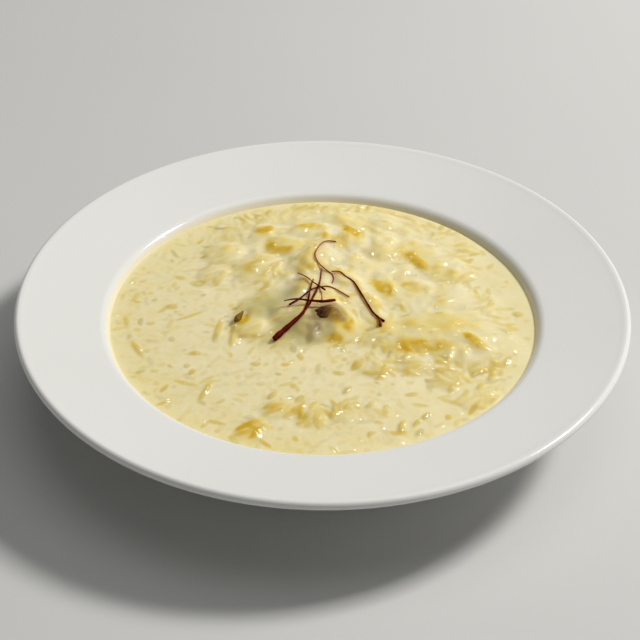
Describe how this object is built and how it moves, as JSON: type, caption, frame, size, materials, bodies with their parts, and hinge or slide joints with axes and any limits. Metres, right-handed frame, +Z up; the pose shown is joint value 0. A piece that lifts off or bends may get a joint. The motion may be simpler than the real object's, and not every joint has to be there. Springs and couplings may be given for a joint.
{
  "type": "kheer rice pudding in a soup plate",
  "caption": "Kheer rice pudding with saffron threads and raisins, served in a white porcelain soup plate with a wide rim.",
  "frame": {"origin": "on the table, under the middle of the plate", "axes": "+Z up, +X to the diner's right, -Y towards the diner"},
  "size_m": [0.24, 0.24, 0.038],
  "materials": {
    "porcelain": "clear glaze over white porcelain, glossy",
    "pudding": "thickened milk with cooked rice, wet and glossy",
    "dark_fruit": "wrinkled raisin skin, moist",
    "golden_fruit": "golden raisin, moist and slightly translucent",
    "spice": "brown papery husk",
    "saffron": "dry crimson stigma"
  },
  "bodies": {
    "root": {"plate": "porcelain", "kheer": "pudding", "raisin_dark": "dark_fruit", "raisin_golden": "golden_fruit", "cardamom_pod": "spice", "saffron_1": "saffron", "saffron_2": "saffron", "saffron_3": "saffron", "saffron_4": "saffron", "saffron_5": "saffron", "saffron_6": "saffron"}
  },
  "joints": []
}
